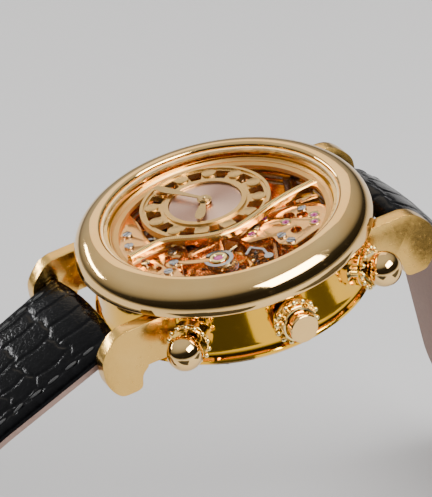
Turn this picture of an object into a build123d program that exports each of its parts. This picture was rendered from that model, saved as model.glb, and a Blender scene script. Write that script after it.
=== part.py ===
"""Skeleton wristwatch: case, open-worked movement, hour ring, ball pushers, crown, strap and buckle.

Millimetres. The origin is the centre of the case back's outer face, +Z points out of the crystal,
+Y to 12 o'clock and +X to 3 o'clock. The watch stands on its open strap, like an arch.
"""

from build123d import *
from math import acos, atan2, cos, degrees, hypot, pi, radians, sin
import os

os.makedirs("parts", exist_ok=True)

# --- case ---------------------------------------------------------------------------------------
bezel_radius = 20.0
bezel_height = 4.05
bezel_edge = 0.3  # upright land under the dome
opening_radius = 15.84  # clear radius inside the bezel's top lip
lip_radius = 0.56  # rounding from the dome into the opening
band_radius = 18.1
band_height = 8.0
back_height = 1.0
flange_width = 0.6
flange_height = 0.6
movement_radius = 14.9
movement_clearance = 0.05
neck_width = 1.8
neck_height = 2.4
back_ring_width = 4.7
back_glass_height = 1.2
crystal_thickness = 0.8
crystal_dome = 0.55
gasket_width = 0.24
fit_gap = 0.05
seat_width = 0.75
rehaut_radius = 13.84
rehaut_height = 0.7

# --- lugs and spring bars -----------------------------------------------------------------------
lug_gap = 20.3
lug_thickness = 2.0
lug_tip = 24.35
spring_bar_y = 21.5
spring_bar_z = 5.0
spring_bar_radius = 0.9
spring_bar_pivot_radius = 0.6
spring_bar_pivot_length = 1.1
hinge_gap = 0.05  # radial clearance of every pivot that turns

# --- crown and pushers --------------------------------------------------------------------------
stem_z = 5.2
ball_to_lug_gap = 1.967
ball_radius = 2.36
ball_reach = 22.0
stem_start = 15.6  # inner end of each pusher stem, inside the case wall
pusher_shoulder = band_radius - 0.5
pusher_collar_end = 20.35
pusher_stem_radius = 0.8
pusher_travel = 1.0
collar_radius = 2.9
collar_neck_radius = 2.2
bead_radius = 0.33
bead_circle_radius = 2.72
bead_count = 14
crown_base_radius = 3.05
crown_base_start = band_radius + 0.3
crown_base_height = 1.1
crown_collar_radius = 2.4
crown_collar_height = 1.2
button_radius = 2.0
button_reach = 22.0
button_travel = 0.8
stem_radius = 0.55
stem_square = 0.7
crown_tube_radius = 1.3
clutch_radius = 1.25
clutch_length = 1.3
clutch_reach = 13.6

# --- movement -----------------------------------------------------------------------------------
plate_z = 3.0
plate_thickness = 1.2
bridge_top = 10.2
bridge_thickness = 0.9
hands_at = (4.65, 0.05)
balance_at = (-7.0, 4.05)
balance_radius = 4.3
well_wall = 0.6
well_gap = 0.7
barrel_at = (6.15, 6.05)
barrel_height = 2.6
fourth_at = (-2.15, -5.05)
escape_at = (-4.6, -2.05)
pallet_at = (-5.3, 0.3)
escape_radius = 1.9
pivot_radius = 0.14
arbor_radius = 0.3
pivot_length = 1.05
top_pivot_length = 0.8
jewel_radius = 0.48
screw_radius = 0.62
pillar_radius = 0.95
wheel_thickness = 0.25
motion_distance = 2.9  # hour arbor to minute-wheel stud
motion_angle = 60

# --- hour ring and hands ------------------------------------------------------------------------
ring_radius = 8.8
ring_inner = 4.95
ring_floor = 10.7
ring_top = 11.5
rim_height = 0.2
window_inner = 6.05
window_outer = 7.95
medallion_radius = 0.95
medallion_circle = 7.25
disc_radius = 4.88
bar_width = 1.4
bar_floor = 10.75
bar_top = 11.8
minute_angle = 60  # clockwise from 12: ten minutes past
hour_angle = 305  # ten past ten
minute_hand_length = 8.2
hour_hand_length = 4.8
hand_thickness = 0.13
hour_hand_z = 11.93
minute_hand_z = 12.12

# --- strap and buckle ---------------------------------------------------------------------------
strap_side_gap = 0.22
strap_end_width = 16.4
lining_thickness = 0.8
leather_edge = 1.1
leather_pad = 1.9
leather_thin_pad = 1.15
strap_eye_radius = 1.8
ground_z = -48.0
tail_length = 42.0
foot_radius = 22.0  # the long strap's bend where it meets the table
foot_lean = 32  # its slope at the spring bar, in degrees
tail_hole_radius = 0.9
tail_hole_pitch = 6.3
buckle_bar_radius = 0.6
buckle_eye_radius = 1.65
buckle_reach = 13.0
buckle_arm = 1.7
buckle_height = 2.6
tongue_width = 1.5
tongue_slot = 3.0
keeper_width = 4.5
keeper_wall = 1.1
keeper_gap = 0.3

# --- derived places -----------------------------------------------------------------------------
bezel_z = back_height + band_height
top_z = bezel_z + bezel_height
bore_radius = movement_radius + movement_clearance
neck_radius = bore_radius + neck_width
seat_z = top_z - 1.0
shelf_radius = opening_radius - seat_width
crystal_radius = opening_radius - gasket_width
back_ring_inner = band_radius - back_ring_width
back_spigot_radius = bore_radius - fit_gap
lug_inner = lug_gap / 2
pusher_angle = degrees(acos((lug_inner + lug_thickness + ball_radius + ball_to_lug_gap) / ball_reach))
strap_width = lug_gap - 2 * strap_side_gap
plate_top = plate_z + plate_thickness
bridge_floor = bridge_top - bridge_thickness
well_radius = balance_radius + well_gap


def save(name, shape):
    export_step(shape, f"parts/{name}.step")


def group(solids):
    return Compound(children=solids)


def disc(radius, low, high, at=(0, 0)):
    return Pos(at[0], at[1], low) * extrude(Circle(radius), high - low)


def ring(outer, inner, low, high, at=(0, 0)):
    return Pos(at[0], at[1], low) * extrude(Circle(outer) - Circle(inner), high - low)


def turned(points, at=(0, 0)):
    """Turns a closed outline of (radius, height) points about an upright axis."""
    outline = Plane.XZ * make_face(Polyline(*points, close=True))
    return Pos(at[0], at[1], 0) * revolve(outline, Axis.Z)


def polar(radius, angle, centre=(0, 0)):
    return (centre[0] + radius * cos(radians(angle)), centre[1] + radius * sin(radians(angle)))


def clock(angle):
    """A clock-face angle, clockwise from 12, as an angle from +X."""
    return 90 - angle


def direction(a, b):
    return degrees(atan2(b[1] - a[1], b[0] - a[0]))


def distance(a, b):
    return hypot(b[0] - a[0], b[1] - a[1])


def radial_plane(angle):
    """A plane through the case axis at stem height whose normal points outwards at this angle."""
    out = polar(1, angle)
    return Plane(origin=(0, 0, stem_z), x_dir=(0, 0, 1), z_dir=(out[0], out[1], 0))


def spindle(points, angle):
    """Turns (radius, reach) points about the axis that leaves the case at this angle."""
    outline = Plane.XZ * make_face(Polyline(*points, close=True))
    return radial_plane(angle) * revolve(outline, Axis.Z)


def bead_ring(reach, angle):
    """Round beads on a circle about the axis that leaves the case at this angle."""
    beads = []
    for i in range(bead_count):
        x, y = polar(bead_circle_radius, 360 * i / bead_count)
        beads.append(radial_plane(angle) * Pos(x, y, reach) * Sphere(bead_radius))
    return beads


# === case =======================================================================================
def build_case():
    """Recessed band with a back flange, and a neck that the bezel is pressed on."""
    flange_top = back_height + flange_height
    outline = [
        (bore_radius, back_height),
        (band_radius + flange_width, back_height),
        (band_radius + flange_width, flange_top),
        (band_radius, flange_top),
        (band_radius, bezel_z),
        (neck_radius, bezel_z),
        (neck_radius, bezel_z + neck_height),
        (bore_radius, bezel_z + neck_height),
    ]
    band = turned(outline)
    for angle in (180 - pusher_angle, 180, 180 + pusher_angle):
        band -= spindle([(0, 10), (crown_tube_radius, 10), (crown_tube_radius, 25), (0, 25)], angle)
    save("case_band", band)


def build_bezel():
    """Domed ring: a quarter ellipse outside, a rounded lip, and the crystal's shelf inside."""
    dome_width = bezel_radius - opening_radius - lip_radius
    low = bezel_z + bezel_edge
    dome_centre = (opening_radius + lip_radius, low)
    dome = EllipticalCenterArc(dome_centre, dome_width, top_z - low, start_angle=0, arc_size=90)
    lip = CenterArc((opening_radius + lip_radius, top_z - lip_radius), lip_radius, 90, 90)
    inside = Polyline(
        lip @ 1,
        (opening_radius, seat_z),
        (shelf_radius, seat_z),
        (shelf_radius, bezel_z + neck_height),
        (neck_radius, bezel_z + neck_height),
        (neck_radius, bezel_z),
        (bezel_radius, bezel_z),
        dome @ 0,
    )
    outline = make_face([dome, lip, inside])
    save("bezel", revolve(Plane.XZ * outline, Axis.Z))


def build_crystal():
    low = seat_z
    edge = low + crystal_thickness - crystal_dome / 2
    crown = ThreePointArc((-crystal_radius, edge), (0, edge + crystal_dome), (crystal_radius, edge))
    under_edge = low + crystal_dome / 4
    under = ThreePointArc(
        (crystal_radius - 0.6, under_edge),
        (0, under_edge + crystal_dome * 0.8),
        (0.6 - crystal_radius, under_edge),
    )
    right = Polyline(crown @ 1, (crystal_radius, low), (crystal_radius - 0.6, low), under @ 0)
    left = Polyline(under @ 1, (0.6 - crystal_radius, low), (-crystal_radius, low), crown @ 0)
    full = make_face([crown, right, under, left])
    half = full & Pos(crystal_radius, low) * Rectangle(2 * crystal_radius, 8)
    save("crystal", revolve(Plane.XZ * half, Axis.Z))
    save("crystal_gasket", ring(opening_radius, crystal_radius, seat_z, seat_z + 0.35))


def build_rehaut():
    """Inner flange: a hollow upper band, a step, then a satin ring that slopes to the dial."""
    top = bezel_z + neck_height
    low = top - rehaut_height - 0.5
    outer = bore_radius - fit_gap
    outline = [
        (outer, low),
        (outer, top),
        (outer - 0.15, top),
        (outer - 0.3, top - 0.22),
        (rehaut_radius + 0.62, top - 0.3),
        (rehaut_radius + 0.62, top - 0.42),
        (rehaut_radius, top - 0.62),
        (rehaut_radius, low),
    ]
    save("rehaut", turned(outline))


def build_back():
    """Screwed back ring with its window, and the gasket between ring and band."""
    outer = band_radius - 0.2
    outline = [
        (back_ring_inner, 0),
        (outer - 0.5, 0),
        (outer, 0.4),
        (outer, back_height),
        (back_spigot_radius, back_height),
        (back_spigot_radius, back_height + 0.9),
        (back_ring_inner, back_height + 0.9),
    ]
    back = turned(outline)
    groove = ring(16.3, 15.9, back_height - 0.35, back_height)
    back -= groove
    screws = []
    for i in range(6):
        x, y = polar(17.0, 30 + 60 * i)
        seat = disc(0.55, 0, back_height, (x, y))
        back -= seat
        slot = Pos(x, y, 0.12) * Rot(0, 0, 25 * i) * Box(1.2, 0.2, 0.3)
        head = disc(0.54, 0.05, back_height, (x, y)) - slot
        screws.append(head)
    save("case_back_ring", back)
    save("case_back_screws", group(screws))
    save("back_gasket", groove)
    save("back_crystal", disc(back_ring_inner, 0, back_glass_height))


def build_lugs():
    """Four curved horns soldered to the band; each pair holds a spring bar."""
    tip = lug_tip
    back_curve = [(tip - 4.0, 8.7), (tip - 1.5, 7.45), (tip - 0.3, 5.9), (tip, 4.2)]
    low_curve = [(tip, 4.2), (tip - 0.35, 1.6), (tip - 1.7, -0.25), (tip - 3.2, -0.5)]
    hook_curve = [(tip - 3.2, -0.5), (tip - 4.75, -0.1), (tip - 5.25, 1.6)]
    hook_curve += [(tip - 6.1, 2.45), (tip - 7.9, 2.7)]
    start = 12.5
    edges = [
        Line((start, 8.8), back_curve[0]),
        Spline(*back_curve, tangents=[(1, -0.1), (0, -1)]),
        Spline(*low_curve, tangents=[(0, -1), (-1, 0)]),
        Spline(*hook_curve, tangents=[(-1, 0), (-1, 0)]),
        Polyline(hook_curve[-1], (start, 2.7), (start, 8.8)),
    ]
    side = Plane.YZ * make_face(edges)
    horn = Pos(lug_inner, 0, 0) * extrude(side, lug_thickness)
    horn = horn if horn.bounding_box().min.X > 0 else Pos(lug_thickness, 0, 0) * horn
    horn -= disc(band_radius, 0, bezel_z)
    horn -= disc(band_radius + flange_width, 0, back_height + flange_height)
    pivot_hole = Cylinder(spring_bar_pivot_radius, 2 * (lug_inner + spring_bar_pivot_length + 0.05))
    horn -= Pos(0, spring_bar_y, spring_bar_z) * Rot(0, 90, 0) * pivot_hole
    mirrored = mirror(horn, Plane.YZ)
    horns = [horn, mirrored, mirror(horn, Plane.XZ), mirror(mirrored, Plane.XZ)]
    save("lugs", group(horns))
    bars = []
    for side_sign in (1, -1):
        bar = Cylinder(spring_bar_radius, strap_width)
        bar += Cylinder(spring_bar_pivot_radius, 2 * (lug_inner + spring_bar_pivot_length))
        bars.append(Pos(0, side_sign * spring_bar_y, spring_bar_z) * Rot(0, 90, 0) * bar)
    save("spring_bars", group(bars))
    return [mirrored, mirror(mirrored, Plane.XZ)]


# === crown and pushers ==========================================================================
def build_pushers(near_horns):
    """Two ball-headed pushers that slide in beaded collars."""
    collars = []
    for name, angle in (("upper", 180 - pusher_angle), ("lower", 180 + pusher_angle)):
        outline = [
            (pusher_stem_radius + hinge_gap, pusher_shoulder + 0.1),
            (collar_radius - 0.2, pusher_shoulder + 0.1),
            (collar_neck_radius, pusher_shoulder + 1.2),
            (collar_neck_radius + 0.1, pusher_collar_end - 0.9),
            (collar_radius, pusher_collar_end - 0.7),
            (collar_radius, pusher_collar_end - 0.25),
            (collar_neck_radius, pusher_collar_end),
            (pusher_stem_radius + hinge_gap, pusher_collar_end),
        ]
        collar = spindle(outline, angle)
        collar -= disc(band_radius, 0, bezel_z)
        cup = ball_reach - pusher_travel
        collar -= radial_plane(angle) * Pos(0, 0, cup) * Sphere(ball_radius + 0.12)
        for bead in bead_ring(pusher_collar_end - 0.15, angle):
            collar += bead
        for horn in near_horns:
            collar -= horn
        collars.append(collar)
        ball = radial_plane(angle) * Pos(0, 0, ball_reach) * Sphere(ball_radius)
        stem_side = [(pusher_stem_radius, stem_start), (pusher_stem_radius, ball_reach)]
        stem = spindle([(0, stem_start), *stem_side, (0, ball_reach)], angle)
        save(f"ball_pusher_{name}", ball + stem)
    save("pusher_collars", group(collars))


def build_crown():
    """Beaded crown on its stem, with a flat button that slides inside the crown's collar."""
    start = crown_base_start
    collar_start = start + crown_base_height
    collar_end = collar_start + crown_collar_height
    recess = button_radius + hinge_gap
    outline = [
        (stem_radius, start),
        (crown_base_radius - 0.5, start),
        (crown_base_radius, start + 0.4),
        (crown_base_radius, collar_start - 0.15),
        (crown_base_radius - 0.15, collar_start),
        (crown_collar_radius, collar_start),
        (crown_collar_radius, collar_end - 0.12),
        (crown_collar_radius - 0.12, collar_end),
        (recess, collar_end),
        (recess, start + 0.6),
        (stem_radius, start + 0.6),
    ]
    crown = spindle(outline, 180)
    for bead in bead_ring(collar_start + 0.12, 180):
        crown += bead
    save("crown", crown)
    button_low = start + 0.65 + button_travel
    chamfer = 0.15
    outline = [
        (0, button_low),
        (button_radius, button_low),
        (button_radius, button_reach - chamfer),
        (button_radius - chamfer, button_reach),
        (0, button_reach),
    ]
    save("crown_button", spindle(outline, 180))
    tube_end = start - 0.05
    outline = [
        (stem_radius + hinge_gap, bore_radius + 0.4),
        (crown_tube_radius, bore_radius + 0.4),
        (crown_tube_radius, tube_end),
        (stem_radius + hinge_gap, tube_end),
    ]
    save("crown_tube", spindle(outline, 180))
    stem_low = clutch_reach - clutch_length / 2 - 0.4
    round_low = clutch_reach + clutch_length / 2 + 0.1
    round_side = [(stem_radius, round_low), (stem_radius, start + 0.6)]
    stem = spindle([(0, round_low), *round_side, (0, start + 0.6)], 180)
    square = extrude(Rectangle(stem_square, stem_square), round_low - stem_low + 0.1)
    stem += radial_plane(180) * Pos(0, 0, stem_low) * square
    save("winding_stem", stem)
    clutch = gear(14, clutch_radius - 0.2, 0, clutch_length, (0, 0), 0)
    bore = stem_square + 2 * hinge_gap
    clutch -= Pos(0, 0, -1) * extrude(Rectangle(bore, bore), clutch_length + 2)
    save("clutch_wheel", radial_plane(180) * Pos(0, 0, clutch_reach - clutch_length / 2) * clutch)


# === wheels =====================================================================================
def gear(teeth, pitch, low, high, at, phase):
    """A toothed disc with one tooth centred on the phase angle."""
    module = 2 * pitch / teeth
    step = 360 / teeth
    points = []
    for i in range(teeth):
        middle = phase + i * step
        for share, depth in ((-0.27, -1.2), (-0.12, 0.85), (0.12, 0.85), (0.27, -1.2)):
            points.append(polar(pitch + depth * module, middle + share * step))
    outline = make_face(Polyline(*points, close=True))
    return Pos(at[0], at[1], low) * extrude(outline, high - low)


def spokes(teeth, pitch, hub, rim, arms, low, at, phase):
    """A toothed wheel whose disc is cut away between its arms."""
    high = low + wheel_thickness
    inner = pitch - 1.2 * 2 * pitch / teeth - rim
    wheel = gear(teeth, pitch, low, high, at, phase)
    window = ring(inner, hub, low, high, at)
    for i in range(arms):
        arm = Pos(at[0], at[1], (low + high) / 2) * Rot(0, 0, phase + 360 * i / arms)
        window -= arm * Pos(inner / 2, 0, 0) * Box(inner, 0.45, high - low + 1)
    return wheel - window


def arbor(at, low, high):
    """A staff with a thin pivot at each end."""
    body = disc(arbor_radius, low + pivot_length, high - top_pivot_length, at)
    return body + disc(pivot_radius, low, high, at)


def mesh_phase(teeth, own_at, other_at):
    """The phase that puts a gap between two teeth towards the other wheel."""
    return direction(own_at, other_at) + 180 / teeth


def pitch_pair(span, first, second):
    return span * first / (first + second), span * second / (first + second)


centre_teeth, third_leaves = 64, 8
third_teeth, fourth_leaves = 60, 8
barrel_teeth, centre_leaves = 60, 10
third_at = (1.4, -3.0)
cannon_leaves, minute_teeth = 12, 36
minute_leaves, hour_teeth = 10, 40
centre_pitch, third_pinion = pitch_pair(distance(hands_at, third_at), centre_teeth, third_leaves)
third_pitch, fourth_pinion = pitch_pair(distance(third_at, fourth_at), third_teeth, fourth_leaves)
barrel_pitch, centre_pinion = pitch_pair(distance(barrel_at, hands_at), barrel_teeth, centre_leaves)
cannon_pitch, minute_pitch = pitch_pair(motion_distance, cannon_leaves, minute_teeth)
minute_pinion, hour_pitch = pitch_pair(motion_distance, minute_leaves, hour_teeth)
minute_at = polar(motion_distance, motion_angle, hands_at)
barrel_z = plate_top + 0.2
barrel_gear_z = barrel_z + barrel_height - 0.8
centre_wheel_z = barrel_z + barrel_height + 0.35
third_wheel_z = plate_top + 1.3
fourth_wheel_z = bridge_floor - 1.2
escape_z = plate_top + 2.3
pallet_bridge_z = escape_z + 0.75
balance_z = plate_top + 3.6
cannon_radius = 0.5
arbor_low = plate_z + 0.2
arbor_high = bridge_top - 0.15


def build_train():
    """Going train from the barrel to the escape wheel, each wheel riveted to its own arbor."""
    phase = direction(hands_at, barrel_at)
    body = disc(arbor_radius, arbor_low + pivot_length, ring_floor, hands_at)
    body += disc(pivot_radius, arbor_low, ring_floor, hands_at)
    body += gear(centre_leaves, centre_pinion, barrel_gear_z - 0.1, centre_wheel_z, hands_at, phase)
    to_third = mesh_phase(centre_teeth, hands_at, third_at)
    body += spokes(centre_teeth, centre_pitch, 0.9, 0.45, 4, centre_wheel_z, hands_at, to_third)
    save("centre_wheel", body)
    back = direction(third_at, hands_at)
    body = arbor(third_at, arbor_low, arbor_high)
    body += gear(third_leaves, third_pinion, centre_wheel_z - 0.2, centre_wheel_z + 0.5, third_at, back)
    to_fourth = mesh_phase(third_teeth, third_at, fourth_at)
    body += spokes(third_teeth, third_pitch, 0.7, 0.4, 4, third_wheel_z, third_at, to_fourth)
    save("third_wheel", body)
    back = direction(fourth_at, third_at)
    body = arbor(fourth_at, arbor_low, arbor_high)
    body += gear(fourth_leaves, fourth_pinion, third_wheel_z - 0.2, third_wheel_z + 0.5, fourth_at, back)
    fourth_pitch = distance(third_at, fourth_at) - arbor_radius - 0.35
    body += spokes(54, fourth_pitch, 0.6, 0.35, 5, fourth_wheel_z, fourth_at, 0)
    save("fourth_wheel", body)
    body = arbor(escape_at, arbor_low, arbor_high)
    body += disc(0.38, fourth_wheel_z - 0.3, fourth_wheel_z + 0.5, escape_at)
    rim = ring(escape_radius - 0.45, escape_radius - 0.75, escape_z, escape_z + wheel_thickness, escape_at)
    for i in range(15):
        tooth_base = polar(escape_radius - 0.6, 24 * i + 4, escape_at)
        tooth_tip = polar(escape_radius, 24 * i, escape_at)
        tooth_foot = polar(escape_radius - 0.6, 24 * i - 7, escape_at)
        tooth = make_face(Polyline(tooth_base, tooth_tip, tooth_foot, close=True))
        rim += Pos(0, 0, escape_z) * extrude(tooth, wheel_thickness)
    for i in range(4):
        arm = Pos(escape_at[0], escape_at[1], escape_z + wheel_thickness / 2) * Rot(0, 0, 45 + 90 * i)
        rim += arm * Pos(0.65, 0, 0) * Box(1.3, 0.25, wheel_thickness)
    save("escape_wheel", body + rim)


def build_barrel():
    """Toothed barrel drum that holds the mainspring, on an arbor with the ratchet wheel."""
    top = barrel_z + barrel_height
    drum_radius = barrel_pitch - 0.55
    drum = disc(drum_radius, barrel_z, top, barrel_at)
    drum -= disc(drum_radius - 0.35, barrel_z + 0.3, top - 0.3, barrel_at)
    towards = mesh_phase(barrel_teeth, barrel_at, hands_at)
    teeth = gear(barrel_teeth, barrel_pitch, barrel_gear_z, top, barrel_at, towards)
    drum += teeth - disc(drum_radius - 0.2, 0, 20, barrel_at)
    drum -= disc(0.8 + hinge_gap, 0, 20, barrel_at)
    save("barrel", drum)
    spring = ring(drum_radius - 0.4, drum_radius - 1.5, barrel_z + 0.4, top - 0.4, barrel_at)
    save("mainspring", spring)
    staff = disc(0.8, arbor_low, top + 0.1, barrel_at)
    staff += disc(0.55, arbor_low, arbor_high, barrel_at)
    staff += spokes(48, 3.6, 1.4, 0.6, 6, top + 0.1 + 2 * wheel_thickness, barrel_at, 0)
    staff += disc(1.5, top + 0.1, top + 0.1 + 3 * wheel_thickness, barrel_at)
    save("ratchet_wheel", staff)


def build_escapement():
    """Pallet fork, screwed balance with its staff, and the flat hairspring above it."""
    aim = direction(pallet_at, balance_at)
    fork = disc(0.4, escape_z, escape_z + 0.3, pallet_at)
    fork += arbor(pallet_at, arbor_low, pallet_bridge_z + 0.35)
    reach = distance(pallet_at, balance_at) - 0.9
    place = Pos(pallet_at[0], pallet_at[1], escape_z + 0.15) * Rot(0, 0, aim)
    fork += place * Pos(reach / 2, 0, 0) * Box(reach, 0.35, 0.3)
    fork += place * Pos(reach, 0.24, 0) * Box(0.6, 0.2, 0.3)
    fork += place * Pos(reach, -0.24, 0) * Box(0.6, 0.2, 0.3)
    fork += place * Box(0.45, 1.9, 0.3)
    save("pallet_fork", fork)
    low = balance_z
    high = low + 0.7
    wheel = ring(balance_radius, balance_radius - 0.5, low, high, balance_at)
    for i in range(3):
        arm = Pos(balance_at[0], balance_at[1], low + 0.35) * Rot(0, 0, 35 + 120 * i)
        wheel += arm * Pos(balance_radius / 2 - 0.1, 0, 0) * Box(balance_radius - 0.4, 0.5, 0.3)
    for i in range(14):
        x, y = polar(balance_radius + 0.1, 35 + 360 * i / 14, balance_at)
        screw_place = Pos(x, y, low + 0.35) * Rot(0, 0, 35 + 360 * i / 14) * Rot(0, 90, 0)
        wheel += screw_place * Cylinder(0.22, 0.5)
    wheel += disc(0.55, low, high, balance_at)
    wheel += disc(0.7, escape_z + 0.5, escape_z + 0.75, balance_at)
    save("balance_wheel", wheel + arbor(balance_at, arbor_low, arbor_high))
    turns = []
    for i in range(5):
        turns.append(ring(1.15 + 0.32 * i, 1.05 + 0.32 * i, high + 0.2, high + 0.38, balance_at))
    rungs = Pos(balance_at[0], balance_at[1], high + 0.29) * Rot(0, 0, 60) * Pos(1.45, 0, 0)
    coil_body = turns[0]
    for turn in turns[1:]:
        coil_body += turn
    coil_body += rungs * Box(2.0, 0.12, 0.18)
    save("hairspring", coil_body)


def build_motion_works():
    """Cannon pinion, minute wheel and hour wheel: the hour hand turns once for twelve minute turns."""
    low = bridge_top + 0.15
    cannon = gear(cannon_leaves, cannon_pitch, low, low + 0.5, hands_at, direction(hands_at, minute_at))
    cannon += disc(cannon_radius, low, minute_hand_z + hand_thickness, hands_at)
    cannon -= disc(arbor_radius, low - 1, ring_floor, hands_at)
    save("cannon_pinion", cannon)
    towards = mesh_phase(minute_teeth, minute_at, hands_at)
    wheel = gear(minute_teeth, minute_pitch, low, low + 0.2, minute_at, towards)
    back = direction(minute_at, hands_at)
    wheel += gear(minute_leaves, minute_pinion, low + 0.2, low + 0.75, minute_at, back)
    wheel -= disc(0.25 + hinge_gap, 0, 20, minute_at)
    save("minute_wheel", wheel)
    towards = mesh_phase(hour_teeth, hands_at, minute_at)
    hour = gear(hour_teeth, hour_pitch, low + 0.55, low + 0.75, hands_at, towards)
    hour += disc(cannon_radius + 0.22, low + 0.55, hour_hand_z, hands_at)
    hour -= disc(cannon_radius + hinge_gap, 0, 20, hands_at)
    save("hour_wheel", hour)


# === plates and bridges =========================================================================
def plate(points, low, high, rounding):
    """A flat plate with rounded corners."""
    outline = make_face(Polyline(*points, close=True))
    outline = fillet(outline.vertices(), rounding)
    return Pos(0, 0, low) * extrude(outline, high - low)


train_jewels = [fourth_at, escape_at, (-5.03, -6.85), (-6.0, -10.6), (-7.5, -9.9)]
barrel_screws = [(-1.3, 8.1), (-1.4, 12.0), (-5.4, 10.6), (6.5, 11.0), (3.8, 12.0)]
train_screws = [(-3.5, -3.1), (-9.6, -5.3), (-3.6, -10.0), (-7.7, -4.9)]
cock_screws = [(-3.9, 9.1)]
centre_screws = [(12.2, 0.8), (8.7, -7.2), (-0.9, 1.6)]
pallet_feet = [(-8.2, 0.1), (-2.9, 0.7)]
hammer_places = [("high", (0.6, -14.0), (1.2, -10.3)), ("low", (-1.7, -13.6), (-1.4, -10.9))]


def pierce(body, points, radius):
    for at in points:
        body -= disc(radius, 0, 20, at)
    return body


def pillar_fits(at):
    """True where a pillar stands clear of the barrel and the fourth wheel."""
    by_barrel = distance(at, barrel_at) > barrel_pitch + pillar_radius + 0.4
    by_fourth = distance(at, fourth_at) > distance(fourth_at, escape_at) + pillar_radius
    return by_barrel and by_fourth


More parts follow.
